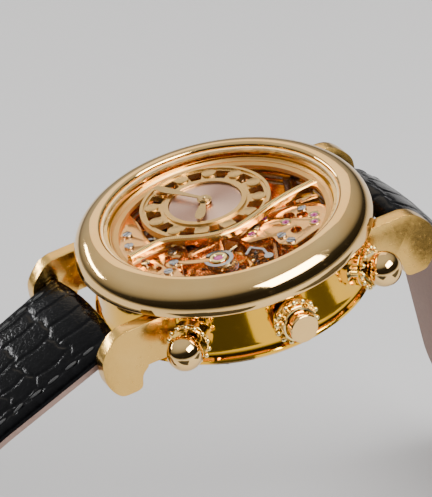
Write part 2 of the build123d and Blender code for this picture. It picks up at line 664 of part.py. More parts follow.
def build_plates():
    """Pierced main plate with its pillars, and the bridges and cock that carry the upper pivots."""
    main = disc(movement_radius, plate_z, plate_top)
    for at, radius in (((5.6, -9.4), 3.1), ((-10.4, -7.4), 1.8), ((-3.9, -12.0), 1.7), (barrel_at, 3.4),
                       ((-2.6, 10.4), 1.5), ((9.4, -2.6), 2.2), ((-0.2, 3.4), 2.1), ((-10.5, 1.0), 1.6)):
        main -= disc(radius, 0, plate_top + 1, at)
    for at in filter(pillar_fits, centre_screws + barrel_screws + train_screws + cock_screws):
        main += disc(pillar_radius, plate_z, bridge_floor, at)
    for at in pallet_feet:
        main += disc(0.55, plate_z, pallet_bridge_z, at)
    for _, _, pivot_at in hammer_places:
        main += disc(0.5, plate_z, bridge_floor - 0.2, pivot_at)
        main += disc(0.25, plate_z, bridge_top - 0.1, pivot_at)
    wall = ring(well_radius + well_wall, well_radius, plate_top - 0.1, bridge_floor, balance_at)
    sector = Pos(balance_at[0] + 7.2, balance_at[1] - 3.2, plate_top + 5) * Box(14, 13, 12)
    wall &= sector
    wall -= Pos(pallet_at[0], pallet_at[1], escape_z + 1.1) * Box(6.4, 5, 3.6)
    wall -= disc(2.3, 0, 20, escape_at)
    wall -= disc(centre_pitch + 0.4, centre_wheel_z - 0.3, centre_wheel_z + 0.8, hands_at)
    wall -= disc(third_pitch + 0.4, third_wheel_z - 0.3, third_wheel_z + 0.8, third_at)
    wall -= disc(distance(fourth_at, escape_at), fourth_wheel_z - 0.3, fourth_wheel_z + 0.6, fourth_at)
    main += wall
    main -= disc(centre_pitch + 0.3, centre_wheel_z - 0.2, centre_wheel_z + 0.6, hands_at)
    main -= disc(barrel_pitch + 0.4, barrel_z - 0.1, barrel_z + barrel_height + 1.2, barrel_at)
    slot = clutch_reach - clutch_length / 2 - 0.6
    main -= spindle([(0, slot), (clutch_radius + 0.3, slot), (clutch_radius + 0.3, 16), (0, 16)], 180)
    for at in [hands_at, third_at, fourth_at, escape_at, balance_at, pallet_at]:
        main -= disc(pivot_radius + hinge_gap, 0, 20, at)
    main -= disc(0.8 + hinge_gap, 0, 20, barrel_at)
    save("main_plate", main)

    bridge = disc(0.8, pallet_bridge_z, pallet_bridge_z + 0.4, pallet_feet[0])
    bridge += disc(0.8, pallet_bridge_z, pallet_bridge_z + 0.4, pallet_feet[1])
    span = Pos(pallet_at[0], pallet_at[1], pallet_bridge_z + 0.2) * Rot(0, 0, direction(*pallet_feet))
    bridge += span * Box(distance(*pallet_feet), 1.0, 0.4)
    save("pallet_bridge", bridge - disc(pivot_radius + hinge_gap, 0, 20, pallet_at))

    edge = movement_radius - 0.3
    rim = disc(edge, 0, 20)
    north = plate([(-7.6, 9.2), (-3.4, 6.2), (0.6, 6.6), (2.6, 9.4), (8.5, 8.6), (12.4, 8.6), (9, 15),
                   (-6, 16), (-9.6, 11.6)], bridge_floor, bridge_top, 0.8) & rim
    north -= disc(well_radius + 0.4, 0, 20, balance_at)
    root = cock_screws[0]
    aim = direction(root, balance_at)
    length = distance(root, balance_at)
    arm = Pos(root[0], root[1], (bridge_floor + bridge_top) / 2) * Rot(0, 0, aim)
    north -= disc(1.3, 0, 20, root)
    north = pierce(north, barrel_screws, 0.35)
    north = pierce(north, [polar(1.35, 72 * i, (-2.6, 10.4)) for i in range(5)], 0.42)
    save("barrel_bridge", north)
    south = plate([(-0.9, -4.3), (-1.4, -8.2), (-3.2, -11.9), (-5.4, -13.2), (-8.8, -11.2), (-10.9, -5.2),
                   (-9.2, -3.8), (-6.9, -3.9), (-6.2, -0.8), (-4.2, -0.2), (-2.9, -2.0), (-2.2, -3.2)],
                  bridge_floor, bridge_top, 0.6) & rim
    south = pierce(south, [(-3.9, -7.9), (-7.6, -7.1), (-4.9, -9.4)], 0.75)
    south = pierce(south, train_jewels, jewel_radius)
    south = pierce(south, train_screws, 0.35)
    save("train_bridge", south)
    heart = disc(5.6, bridge_floor, bridge_top, hands_at)
    heart += plate([(3, -3.6), (0.2, -4.6), (-0.4, -1.6), (2, 1)], bridge_floor, bridge_top, 0.5)
    for at in centre_screws:
        heart += disc(1.3, bridge_floor, bridge_top, at)
        middle = ((at[0] + hands_at[0]) / 2, (at[1] + hands_at[1]) / 2)
        turn = Pos(middle[0], middle[1], (bridge_floor + bridge_top) / 2) * Rot(0, 0, direction(hands_at, at))
        heart += turn * Box(distance(hands_at, at), 1.8, bridge_thickness)
    heart -= disc(1.9, 0, bridge_top + 1, barrel_at)
    heart -= disc(1.5, 0, 20, polar(3.5, 190, hands_at)) + disc(1.5, 0, 20, polar(3.4, -70, hands_at))
    heart -= north
    heart = pierce(heart, centre_screws, 0.35)
    heart -= disc(arbor_radius + hinge_gap, 0, 20, hands_at)
    heart -= disc(jewel_radius, 0, 20, third_at)
    heart += disc(0.25, bridge_top - 0.1, bridge_top + 0.95, minute_at)
    save("centre_bridge", heart)
    cock = disc(1.15, bridge_floor, bridge_top, root) + disc(1.25, bridge_floor, bridge_top, balance_at)
    cock += arm * Pos(length / 2, 0, 0) * Box(length, 1.0, bridge_thickness)
    cock = pierce(cock, [root], 0.35) - disc(jewel_radius, 0, 20, balance_at)
    save("balance_cock", cock)
    steel = ring(1.95, 1.45, bridge_top - 0.35, bridge_top + 0.1, balance_at)
    steel -= arm * Pos(length - 1.5, 0, 0) * Box(3.0, 1.3, 3)
    tail = Pos(balance_at[0], balance_at[1], bridge_top - 0.12) * Rot(0, 0, -70)
    steel += tail * Pos(2.6, 0, 0) * Box(1.6, 0.35, 0.3)
    save("regulator", steel)


def build_small_parts():
    """Slotted screws, ruby jewels, the steel click spring, repeater hammers and their gongs."""
    screws = []
    for i, at in enumerate(barrel_screws + train_screws + cock_screws + centre_screws):
        screw = disc(screw_radius, bridge_top, bridge_top + 0.22, at)
        screw -= Pos(at[0], at[1], bridge_top + 0.22) * Rot(0, 0, 37 * i) * Box(2, 0.2, 0.24)
        screws.append(screw + disc(0.34, bridge_floor, bridge_top, at))
    save("bridge_screws", group(screws))
    jewels = []
    for at in train_jewels + [third_at, balance_at]:
        jewel = ring(jewel_radius, pivot_radius + 0.02, bridge_top - 0.4, bridge_top - 0.02, at)
        jewels.append(jewel - turned([(0, bridge_top - 0.15), (0.3, bridge_top), (0, bridge_top)], at))
    save("jewels", group(jewels))
    knees = [(-8.1, 0.6), (-7.0, -0.6), (-8.4, -1.7), (-10.3, -1.6)]
    path = Polyline(*knees)
    spring = Pos(0, 0, bridge_top - 0.6) * extrude(trace(path, 0.35), 0.35)
    spring += disc(0.6, plate_top, bridge_top - 0.25, knees[-1])
    save("click_spring", spring)
    for name, low_at, high_at in hammer_places:
        middle = ((low_at[0] + high_at[0]) / 2, (low_at[1] + high_at[1]) / 2)
        turn = Pos(middle[0], middle[1], bridge_top - 0.55) * Rot(0, 0, direction(low_at, high_at))
        hammer = turn * Box(distance(low_at, high_at) - 0.6, 1.0, 0.7)
        hammer += disc(0.6, bridge_top - 0.9, bridge_top - 0.2, high_at)
        hammer -= disc(0.25 + hinge_gap, 0, 20, high_at)
        save(f"hammer_{name}", hammer & disc(14.0, 0, 20))
    gap = Pos(5.5, -13.6, 7) * Box(1.4, 3, 12)
    gongs = []
    for level in (bridge_floor - 0.6, bridge_floor - 1.6):
        wire = ring(14.6, 14.25, level, level + 0.35) - gap
        gongs.append(wire)
    foot_at = polar(14.2, -63)
    foot = disc(0.5, plate_top, bridge_floor - 0.2, foot_at)
    save("gongs", gongs[0] + gongs[1] + foot)


# === hour ring, hands and dial bar ==============================================================
bar_route = [(-0.6, 13.75), (-0.2, 11.2), (0.0, 9.0), (-1.9, 5.4), (-3.6, 1.8), (-3.7, -0.4),
             (-2.3, -5.0), (-1.0, -10.0), (-0.6, -13.75)]


def bar_outline(width):
    """The bar's plan: its winding middle line, offset by half the width to each side."""
    middle = Spline(*bar_route)
    left, right = [], []
    steps = 24
    for i in range(steps + 1):
        point = middle @ (i / steps)
        heading = middle % (i / steps)
        across = Vector(-heading.Y, heading.X) * (width / 2)
        left.append(point + across)
        right.append(point - across)
    ends = [Line(left[-1], right[-1]), Line(right[0], left[0])]
    return make_face([Spline(*left), ends[0], Spline(*right[::-1]), ends[1]])


def build_dial():
    """Open hour ring with windows between raised discs, the plain centre disc and the winding bar."""
    bar = Pos(0, 0, bar_floor) * extrude(bar_outline(bar_width), bar_top - bar_floor)
    bar &= disc(rehaut_radius - 0.02, 0, 20)
    save("serpentine_bar", bar)
    room = Pos(0, 0, bar_floor - 1) * extrude(bar_outline(bar_width + 0.02), 4)
    body = ring(ring_radius, ring_inner, ring_floor, ring_top, hands_at)
    body += ring(ring_radius, ring_radius - 0.42, ring_top, ring_top + rim_height, hands_at)
    body += ring(ring_inner + 0.65, ring_inner, ring_top, ring_top + rim_height + 0.05, hands_at)
    window = ring(window_outer, window_inner, 0, 20, hands_at)
    wedge = Pos(hands_at[0], hands_at[1], 10)
    discs = []
    for i in range(12):
        angle = clock(30 * i)
        window -= wedge * Rot(0, 0, angle) * Pos(ring_radius / 2, 0, 0) * Box(ring_radius, 1.9, 30)
        place = polar(medallion_circle, angle, hands_at)
        medallion = disc(medallion_radius, ring_top, ring_top + rim_height, place)
        discs.append(medallion - room)
    body -= window
    body -= room
    for angle in (95, 215, 320):
        body += disc(0.35, bridge_top, ring_floor + 0.1, polar(5.25, angle, hands_at))
    save("hour_ring", body)
    save("hour_medallions", group(discs))
    centre = ring(disc_radius, cannon_radius + 0.4, ring_top - 0.35, ring_top - 0.05, hands_at)
    save("centre_disc", centre)


def hand(length, waist, breadth, shoulder, low, angle, hub, bore):
    """A flat leaf hand: narrow at the hub, broad at its shoulder and rounded to its tip."""
    half = [(0, waist / 2), (shoulder * 0.45, waist / 2 + 0.05), (shoulder, breadth / 2), (length, 0)]
    upper = Spline(*half, tangents=[(1, 0), (0.25, -1)])
    lower = Spline(*[(x, -y) for x, y in reversed(half)], tangents=[(-0.25, -1), (-1, 0)])
    leaf = make_face([upper, lower, Line((0, -waist / 2), (0, waist / 2))])
    blade = Pos(hands_at[0], hands_at[1], low) * Rot(0, 0, angle) * extrude(leaf, hand_thickness)
    blade += disc(hub, low, low + hand_thickness, hands_at)
    return blade - disc(bore, 0, 20, hands_at)


def build_hands():
    hour_bore = cannon_radius + hinge_gap
    hour = hand(hour_hand_length, 0.7, 1.3, 3.1, hour_hand_z, clock(hour_angle), 1.0, hour_bore)
    save("hour_hand", hour)
    minute = hand(minute_hand_length, 0.55, 1.2, 6.9, minute_hand_z, clock(minute_angle), 0.8, cannon_radius)
    low = minute_hand_z + hand_thickness
    washer = disc(0.62, low, low + 0.06, hands_at)
    cap = Pos(hands_at[0], hands_at[1], low) * Sphere(0.3) & disc(1, low, 20, hands_at)
    save("minute_hand", minute + washer + cap)


# === strap and buckle ===========================================================================
def walk(start, heading, legs):
    """Stations along a path of arcs: each leg is (length, turn in degrees, number of steps)."""
    stations = [(start[0], start[1], heading, 0)]
    for length, turn, steps in legs:
        for _ in range(steps):
            y, z, angle, run = stations[-1]
            middle = radians(angle + turn / steps / 2)
            step = length / steps
            y_next, z_next = y + step * cos(middle), z + step * sin(middle)
            stations.append((y_next, z_next, angle + turn / steps, run + step))
    return stations


def band(stations, side, widths, low, edge, pads):
    """A strip lofted along the stations; its outer face is domed from edge height to pad height."""
    sections = []
    total = stations[-1][3]
    for y, z, angle, run in stations:
        share = run / total
        width = widths[0] + (widths[1] - widths[0]) * min(1, share * 1.3)
        pad = pads[0] + (pads[1] - pads[0]) * min(1, share * 1.6)
        across = Vector(0, side * sin(radians(-angle)), cos(radians(angle)))
        along = Vector(0, side * cos(radians(angle)), sin(radians(angle)))
        frame = Plane(origin=(0, side * y, z), x_dir=across.cross(along), z_dir=along)
        sections.append(frame * strip_face(width, low, edge, pad, frame.y_dir.dot(across)))
    return loft(sections, ruled=True)


def strip_face(width, low, edge, pad, sign):
    half = width / 2
    base = Line((-half, sign * low), (half, sign * low))
    right = Line(base @ 1, (half, sign * edge))
    top = ThreePointArc((half, sign * edge), (0, sign * pad), (-half, sign * edge))
    left = Line(top @ 1, base @ 0)
    return make_face([base, right, top, left])


def beam_x(radius, length, y, z):
    return Pos(0, y, z) * Rot(0, 90, 0) * Cylinder(radius, length)


def straight_to(stations, height):
    """The length of a straight run from the last station down to this height."""
    _, z, angle, _ = stations[-1]
    return (height - z) / sin(radians(angle))


bar_at = (spring_bar_y, spring_bar_z)
legs_12 = [(2.7, -13, 2), (14, 0, 1), (32, -51, 9)]
legs_12.append((straight_to(walk(bar_at, -8, legs_12), ground_z + buckle_eye_radius), 0, 1))
path_12 = walk(bar_at, -8, legs_12)
foot_turn = 86
foot_leg = (foot_radius * radians(foot_turn), foot_turn, 10)
foot_top = ground_z + lining_thickness + foot_radius * (1 - cos(radians(foot_turn)))
legs_6 = [(15.5, foot_lean - foot_turn, 7)]
legs_6.append((straight_to(walk(bar_at, -foot_lean, legs_6), foot_top), 0, 1))
legs_6 += [foot_leg, (tail_length, 0, 1)]
path_6 = walk(bar_at, -foot_lean, legs_6)
buckle_at = (path_12[-1][0], path_12[-1][1])


def build_strap():
    """Padded leather with a thin lining on each half, turned round its spring bar."""
    eye_hole = spring_bar_radius + hinge_gap
    widths = (strap_width, strap_end_width)
    pads = (leather_pad, leather_thin_pad)
    clear = beam_x(strap_eye_radius, 40, spring_bar_y, spring_bar_z)
    outer = band(path_12, 1, widths, 0, leather_edge * 0.9, pads)
    lining = band(path_12, 1, widths, -lining_thickness, 0, (0.0001, 0.0001))
    buckle_eye = beam_x(buckle_eye_radius, strap_end_width, *buckle_at)
    bar_hole = beam_x(buckle_bar_radius + hinge_gap, 40, *buckle_at)
    eye = beam_x(strap_eye_radius, strap_width, spring_bar_y, spring_bar_z)
    eye_bore = beam_x(eye_hole, 40, spring_bar_y, spring_bar_z)
    slot = Pos(0, *buckle_at) * Box(tongue_slot, 6.8, 6.8)
    save("strap_12", outer - clear + eye + buckle_eye - eye_bore - bar_hole - slot)
    lining = lining - clear - beam_x(buckle_eye_radius, 40, *buckle_at) - slot
    save("strap_12_lining", lining)

    clear = beam_x(strap_eye_radius, 40, -spring_bar_y, spring_bar_z)
    outer = band(path_6, -1, widths, 0, leather_edge, pads)
    lining = band(path_6, -1, widths, -lining_thickness, 0, (0.0001, 0.0001))
    eye = beam_x(strap_eye_radius, strap_width, -spring_bar_y, spring_bar_z)
    eye_bore = beam_x(eye_hole, 40, -spring_bar_y, spring_bar_z)
    end_y = -path_6[-1][0]
    tip_radius = strap_end_width / 2
    tip = Pos(0, end_y + tip_radius - 20, ground_z) * Box(40, 40, 20)
    tip -= Pos(0, end_y + tip_radius, ground_z) * Cylinder(tip_radius, 20)
    holes = []
    for i in range(6):
        holes.append(Pos(0, end_y + 14 + i * tail_hole_pitch, ground_z) * Cylinder(tail_hole_radius, 10))
    outer = outer - clear + eye - eye_bore - tip
    lining = lining - clear - tip
    for hole in holes:
        outer -= hole
        lining -= hole
    save("strap_6", outer)
    save("strap_6_lining", lining)


def build_keepers():
    """Leather loops on the straight end of the short strap: one sewn down, one free to slide."""
    y, z, angle, run = path_12[-1]
    along = Vector(0, cos(radians(angle)), sin(radians(angle)))
    out = Vector(0, -sin(radians(angle)), cos(radians(angle)))
    for name, back in (("fixed_keeper", 6.2), ("free_keeper", 13.0)):
        low = -lining_thickness - keeper_gap
        high = leather_thin_pad + 2.7
        centre = Vector(0, y, z) - along * back + out * ((low + high) / 2)
        frame = Plane(origin=centre, x_dir=(1, 0, 0), z_dir=along)
        inner = Rectangle(strap_end_width + 2 * keeper_gap, high - low)
        outer_width = strap_end_width + 2 * (keeper_gap + keeper_wall)
        outside = RectangleRounded(outer_width, high - low + 2 * keeper_wall, 1.0)
        save(name, frame * Pos(0, 0, -keeper_width / 2) * extrude(outside - inner, keeper_width))


def build_buckle():
    """Pin buckle: a rounded frame on its bar, with a tongue that turns on the same bar."""
    y, z = buckle_at
    arm_inner = strap_end_width / 2 + 0.35
    width = 2 * (arm_inner + buckle_arm)
    start = y - 1.3
    length = buckle_reach + 1.3
    outside = Pos(0, start + length / 2) * RectangleRounded(width, length, 1.2)
    inside = Pos(0, start + length / 2 - 1.3) * Rectangle(2 * arm_inner, length - 1.2)
    frame = Pos(0, 0, ground_z) * extrude(outside - inside, buckle_height)
    crossbar_top = ground_z + buckle_height - 0.7
    notch = Box(tongue_width + 0.8, 3, 2, align=(Align.CENTER, Align.CENTER, Align.MIN))
    frame -= Pos(0, start + length - 0.6, crossbar_top) * notch
    bar_length = width - 0.8
    frame -= beam_x(buckle_bar_radius, bar_length, y, z)
    save("buckle_frame", frame)
    save("buckle_bar", beam_x(buckle_bar_radius, bar_length, y, z))
    tongue = beam_x(1.15, tongue_width + 0.6, y, z)
    low = crossbar_top + 0.03
    tongue += Pos(0, y + length / 2 - 0.2, low + 0.4) * Box(tongue_width, length - 0.8, 0.8)
    tongue -= beam_x(buckle_bar_radius + hinge_gap, 10, y, z)
    save("buckle_tongue", tongue)


build_case()
build_bezel()
build_crystal()
build_rehaut()
build_back()
near_horns = build_lugs()
build_pushers(near_horns)
build_crown()
build_train()
build_barrel()
build_escapement()
build_motion_works()
build_plates()
build_small_parts()
build_dial()
build_hands()
build_strap()
build_keepers()
build_buckle()
print("buckle pivot", buckle_at, "long strap end", path_6[-1][:2])
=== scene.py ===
# %% [markdown]
# # A skeleton wristwatch
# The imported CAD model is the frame: it already holds every piece at its real size. Here each piece gets
# the finish of the real one, and the pieces that catch the light most, such as the domed bezel, the ball
# pushers, the beaded collars and the leather, are modelled again with finer surfaces.

# %% Load the frame
import bpy
import bmesh
import random
from math import atan2, cos, exp, hypot, pi, radians, sin
from mathutils import Matrix, Vector


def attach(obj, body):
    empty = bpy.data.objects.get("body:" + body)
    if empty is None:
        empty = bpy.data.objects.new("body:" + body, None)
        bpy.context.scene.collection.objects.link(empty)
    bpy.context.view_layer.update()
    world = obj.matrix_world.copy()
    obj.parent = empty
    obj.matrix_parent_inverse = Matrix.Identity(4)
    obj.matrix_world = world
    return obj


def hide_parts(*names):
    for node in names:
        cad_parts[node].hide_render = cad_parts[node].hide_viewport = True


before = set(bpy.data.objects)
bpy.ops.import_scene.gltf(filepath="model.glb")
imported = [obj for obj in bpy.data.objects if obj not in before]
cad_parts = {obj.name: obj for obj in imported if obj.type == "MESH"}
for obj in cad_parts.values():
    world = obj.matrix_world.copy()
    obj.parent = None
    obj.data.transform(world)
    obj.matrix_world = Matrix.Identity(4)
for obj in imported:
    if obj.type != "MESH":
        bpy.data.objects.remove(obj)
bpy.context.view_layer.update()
MM = 0.001

# %% [markdown]
# ## A short way to write shader maths
# A node tree is wires between sockets. This class wraps a socket so that `a * 2 + b` adds the Math nodes,
# which keeps a material readable as a formula.

# %% Socket wrapper
GENERATED_SOCKET = 0
OBJECT_SOCKET = 3


class Wire:
    """A node's output socket that can be used like a number."""

    def __init__(self, tree, socket):
        self.tree = tree
        self.socket = socket

    def math(self, operation, *others):
        return self.tree.math(operation, self, *others)

    def clamp(self):
        return self.tree.node("ShaderNodeClamp", {}, [self])[0]

    def __add__(self, other):
        return self.math("ADD", other)

    def __sub__(self, other):
        return self.math("SUBTRACT", other)

    def __rsub__(self, other):
        return self.tree.math("SUBTRACT", other, self)

    def __mul__(self, other):
        return self.math("MULTIPLY", other)

    def __pow__(self, other):
        return self.math("POWER", other)

    __radd__ = __add__
    __rmul__ = __mul__


class Tree:
    """The node tree of a new material or world, and one method that adds any other node."""

    def __init__(self, owner, shader, **fixed):
        owner.use_nodes = True
        self.owner = owner
        self.nodes = owner.node_tree.nodes
        self.links = owner.node_tree.links
        self.shader = self.nodes[shader]
        for key, value in fixed.items():
            self.shader.inputs[key.replace("_", " ").title().replace("Ior", "IOR")].default_value = value

    def node(self, kind, settings, inputs):
        made = self.nodes.new(kind)
        for key, value in settings.items():
            if key == "stops":
                elements = made.color_ramp.elements
                while len(elements) < len(value):
                    elements.new(0.5)
                for element, (place, colour) in zip(elements, value):
                    element.position = place
                    element.color = (*colour, 1)
            else:
                setattr(made, key, value)
        pairs = inputs.items() if isinstance(inputs, dict) else enumerate(inputs)
        for key, value in pairs:
            if isinstance(value, Wire):
                self.links.new(value.socket, made.inputs[key])
            else:
                made.inputs[key].default_value = value
        return [Wire(self, socket) for socket in made.outputs]

    def math(self, operation, *values):
        return self.node("ShaderNodeMath", {"operation": operation}, values)[0]

    def place(self, size=(1, 1, 1), centre=(0, 0, 0), turn=(0, 0, 0)):
        """Object coordinates, moved so that centre is the origin, then turned and scaled."""
        where = self.node("ShaderNodeTexCoord", {}, {})[OBJECT_SOCKET]
        moved = self.node("ShaderNodeVectorMath", {"operation": "SUBTRACT"}, [where, centre])[0]
        return self.node("ShaderNodeMapping", {}, {"Vector": moved, "Scale": size, "Rotation": turn})[0]

    def split(self, vector):
        return self.node("ShaderNodeSeparateXYZ", {}, [vector])

    def noise(self, vector, scale, detail=3.0, roughness=0.5):
        values = {"Vector": vector, "Scale": scale, "Detail": detail, "Roughness": roughness}
        return self.node("ShaderNodeTexNoise", {}, values)[0]

    def ramp(self, value, stops):
        return self.node("ShaderNodeValToRGB", {"stops": stops}, [value])[0]

    def mix(self, share, first, second):
        values = {0: share, 6: first, 7: second}
        return self.node("ShaderNodeMix", {"data_type": "RGBA"}, values)[2]

    def bump(self, height, strength, distance):
        values = {"Strength": strength, "Distance": distance, "Height": height}
        return self.node("ShaderNodeBump", {}, values)[0]

    def drive(self, name, wire):
        self.links.new(wire.socket, self.shader.inputs[name])


def material_tree(name, **fixed):
    return Tree(bpy.data.materials.new(name), "Principled BSDF", **fixed)


def rgb(r, g, b):
    return (r, g, b, 1.0)


# %% [markdown]
# ## Polished yellow gold
# The case is 18-carat yellow gold, polished like a mirror and lightly worn. A mirror finish shows its
# surroundings, so the colour stays plain and the life comes from hairline scratches: noise stretched
# thin in two directions drives the roughness and a very shallow bump.

# %% Gold materials
def polished_gold(name, colour, deep, roughness):
    tree = material_tree(name, metallic=1.0)
    fine = tree.place(size=(900, 160, 500), turn=(0.3, 0.5, 0.7))
    cross = tree.place(size=(140, 1000, 400), turn=(0.1, -0.6, -0.5))
    scratches = tree.noise(fine, 3.0, 2.0)
    crossing = tree.noise(cross, 3.0, 2.0)
    lines = ((scratches - 0.62) * 6).clamp() + ((crossing - 0.64) * 6).clamp()
    cloud = tree.noise(tree.place(size=(70, 70, 70)), 2.0, 3.0)
    tree.drive("Roughness", (cloud * 0.05 + lines * 0.12 + roughness - 0.02).clamp())
    tree.drive("Base Color", tree.mix((cloud * 1.6 - 0.3).clamp(), rgb(*colour), rgb(*deep)))
    tree.drive("Normal", tree.bump(lines, 0.12, 0.00001))
    return tree.owner


def satin_metal(name, colour, deep, roughness, grain, depth):
    """A grained metal: fine even noise for the grain, a slow cloud for the tone."""
    tree = material_tree(name, metallic=1.0)
    grained = tree.noise(tree.place(), grain, 2.0)
    cloud = tree.noise(tree.place(), 260.0, 3.0)
    tree.drive("Base Color", tree.mix((cloud * 1.5 - 0.25).clamp(), rgb(*colour), rgb(*deep)))
    tree.drive("Roughness", (grained * 0.22 + roughness - 0.08).clamp())
    tree.drive("Normal", tree.bump(grained, depth, 0.00002))
    return tree.owner


gold = polished_gold("polished yellow gold", (1.0, 0.69, 0.29), (0.94, 0.57, 0.19), 0.06)
band_gold = polished_gold("polished band gold", (1.0, 0.57, 0.04), (0.94, 0.48, 0.02), 0.09)
bead_gold = polished_gold("polished bead gold", (1.0, 0.80, 0.36), (0.98, 0.74, 0.28), 0.07)
lug_gold = satin_metal("finely satined gold", (0.86, 0.54, 0.15), (0.80, 0.47, 0.11), 0.2, 1800.0, 0.03)
rehaut_gold = satin_metal("satin flange gold", (1.0, 0.60, 0.20), (0.98, 0.52, 0.14), 0.40, 9000.0, 0.03)
dial_gold = satin_metal("gilt dial metal", (0.80, 0.53, 0.20), (0.68, 0.42, 0.14), 0.26, 9000.0, 0.02)
# The bar's gold is darker than the paler gold of its ridges, which paints shade into the grooves between
# them.
bar_gold_painted_groove_shade = satin_metal("gilt bar with painted groove shade", (0.86, 0.50, 0.14), (0.74, 0.40, 0.09), 0.16, 9000.0, 0.02)
hand_gold = satin_metal("gilt hands", (0.62, 0.43, 0.19), (0.52, 0.35, 0.14), 0.26, 9000.0, 0.02)
rose_gold = satin_metal("rose gilt plates", (1.0, 0.58, 0.22), (0.97, 0.46, 0.14), 0.17, 6000.0, 0.1)
rose_dark = satin_metal("rose gilt under plate", (0.95, 0.54, 0.25), (0.72, 0.35, 0.14), 0.22, 2000.0, 0.3)
brass = satin_metal("gilt wheels", (0.95, 0.62, 0.26), (0.80, 0.46, 0.16), 0.2, 3000.0, 0.15)
steel = satin_metal("polished steel", (0.52, 0.53, 0.56), (0.38, 0.39, 0.42), 0.18, 3000.0, 0.12)
print("gold and steel finishes made")


# %% [markdown]
# ## Circular brushing
# The plain disc inside the hour ring is brushed in circles, and two soft fans of light cross it. The fans are
# painted
# light: the base colour runs from a dark to a light tone and back with the angle round the centre. The
# brushing is a wave that depends only on the distance from the disc's centre.

# %% Brushed centre disc
HANDS = Vector((4.65, 0.05, 0)) * MM


def brushed_disc(name, colour, deep):
    tree = material_tree(name, metallic=1.0, anisotropic=0.6)
    x, y, z = tree.split(tree.place(centre=tuple(HANDS)))
    radius = (x * x + y * y) ** 0.5
    rings = tree.node("ShaderNodeCombineXYZ", {}, [radius * 9000, 0.0, 0.0])[0]
    groove = tree.noise(rings, 1.0, 4.0)
    fan = y.math("ARCTAN2", x)
    # Painted light: the base colour swings between dark and light twice round the centre, drawing two fans of
    # light.
    painted_fan_light = (fan * 2.0 + 0.9).math("SINE") * 0.5 + 0.5
    tree.drive("Base Color", tree.mix(painted_fan_light, rgb(*deep), rgb(*colour)))
    tree.drive("Roughness", (groove * 0.3 + 0.22).clamp())
    tree.drive("Normal", tree.bump(groove, 0.35, 0.00002))
    return tree.owner


# Painted light: the first colour is the lit side of the two fans, the second their dark side.
disc_metal = brushed_disc("brushed rose disc with painted light fans", (0.88, 0.60, 0.48), (0.45, 0.27, 0.21))

# %% [markdown]
# ## Ruby, sapphire and gasket
# Bearing jewels are synthetic ruby, clear but so small that they read as deep pink glass. The crystal is
# sapphire with a coating that kills reflections, so it is almost invisible: its shader mixes a transparent
# surface with a very small share of sharp reflection. The seal under it is clear, and its amber base colour
# is
# painted light: the colour of the gold round it, which lights the seal.

# %% Ruby, sapphire and gasket
def ruby_material():
    tree = material_tree("ruby", roughness=0.08, coat_weight=1.0)
    cloud = tree.noise(tree.place(), 900.0, 2.0)
    tree.drive("Base Color", tree.mix(cloud, rgb(0.16, 0.008, 0.06), rgb(0.34, 0.03, 0.14)))
    return tree.owner


def sapphire_material():
    tree = material_tree("sapphire")
    smear = tree.noise(tree.place(), 160.0, 3.0)
    tree.drive("Roughness", (smear * 0.05 + 0.01).clamp())
    tree.shader.inputs["Base Color"].default_value = rgb(0.02, 0.02, 0.02)
    clear = tree.node("ShaderNodeBsdfTransparent", {}, {"Color": rgb(0.97, 0.98, 0.99)})[0]
    gloss = Wire(tree, tree.shader.outputs[0])
    both = tree.node("ShaderNodeMixShader", {}, {0: (smear * 0.01 + 0.005).clamp(), 1: clear, 2: gloss})[0]
    tree.links.new(both.socket, tree.nodes["Material Output"].inputs["Surface"])
    return tree.owner


def gasket_material():
    tree = material_tree("seal with painted gold light", roughness=0.7)
    grain = tree.noise(tree.place(), 2500.0, 2.0)
    # Painted light: the amber base colour stands in for the gold's light that a clear seal takes on.
    tree.drive("Base Color", tree.mix(grain, rgb(0.62, 0.42, 0.18), rgb(0.70, 0.50, 0.24)))
    return tree.owner


ruby = ruby_material()
sapphire = sapphire_material()
seal_with_painted_gold_light = gasket_material()
print("ruby, sapphire and gasket made")

# %% [markdown]
# ## Leather
# The outer leather is black alligator, glazed until it shines. Its scales are modelled as geometry further
# on; the material adds fine wrinkles and pores, and a low roughness for the glaze.

# %% Leather and thread
def leather_material(name, colour, light, roughness, shine, grain):
    tree = material_tree(name, roughness=roughness, specular_ior_level=shine)
    wrinkle = tree.noise(tree.place(), grain, 4.0, 0.6)
    cells = tree.node("ShaderNodeTexVoronoi", {"feature": "DISTANCE_TO_EDGE"},
                      {"Vector": tree.place(), "Scale": grain * 1.3})[0]
    pores = (cells * 6).clamp()
    tree.drive("Base Color", tree.mix((wrinkle * 1.4 - 0.3).clamp(), rgb(*colour), rgb(*light)))
    tree.drive("Roughness", (wrinkle * 0.22 + roughness - 0.1).clamp())
    tree.drive("Normal", tree.bump(pores * 0.5 + wrinkle, 0.35, 0.00006))
    return tree.owner


alligator = leather_material("glazed black leather", (0.0008, 0.0008, 0.0009), (0.0025, 0.0025, 0.003), 0.17,
                             0.10, 1100.0)
lining = leather_material("brown lining leather", (0.19, 0.12, 0.095), (0.27, 0.18, 0.15), 0.6, 0.3, 1500.0)
thread = leather_material("black thread", (0.012, 0.012, 0.012), (0.03, 0.03, 0.03), 0.5, 0.3, 5000.0)
print("leathers and thread made")


# %% Put each finish on its CAD nodes
def paint(obj, material):
    obj.data.materials.clear()
    obj.data.materials.append(material)


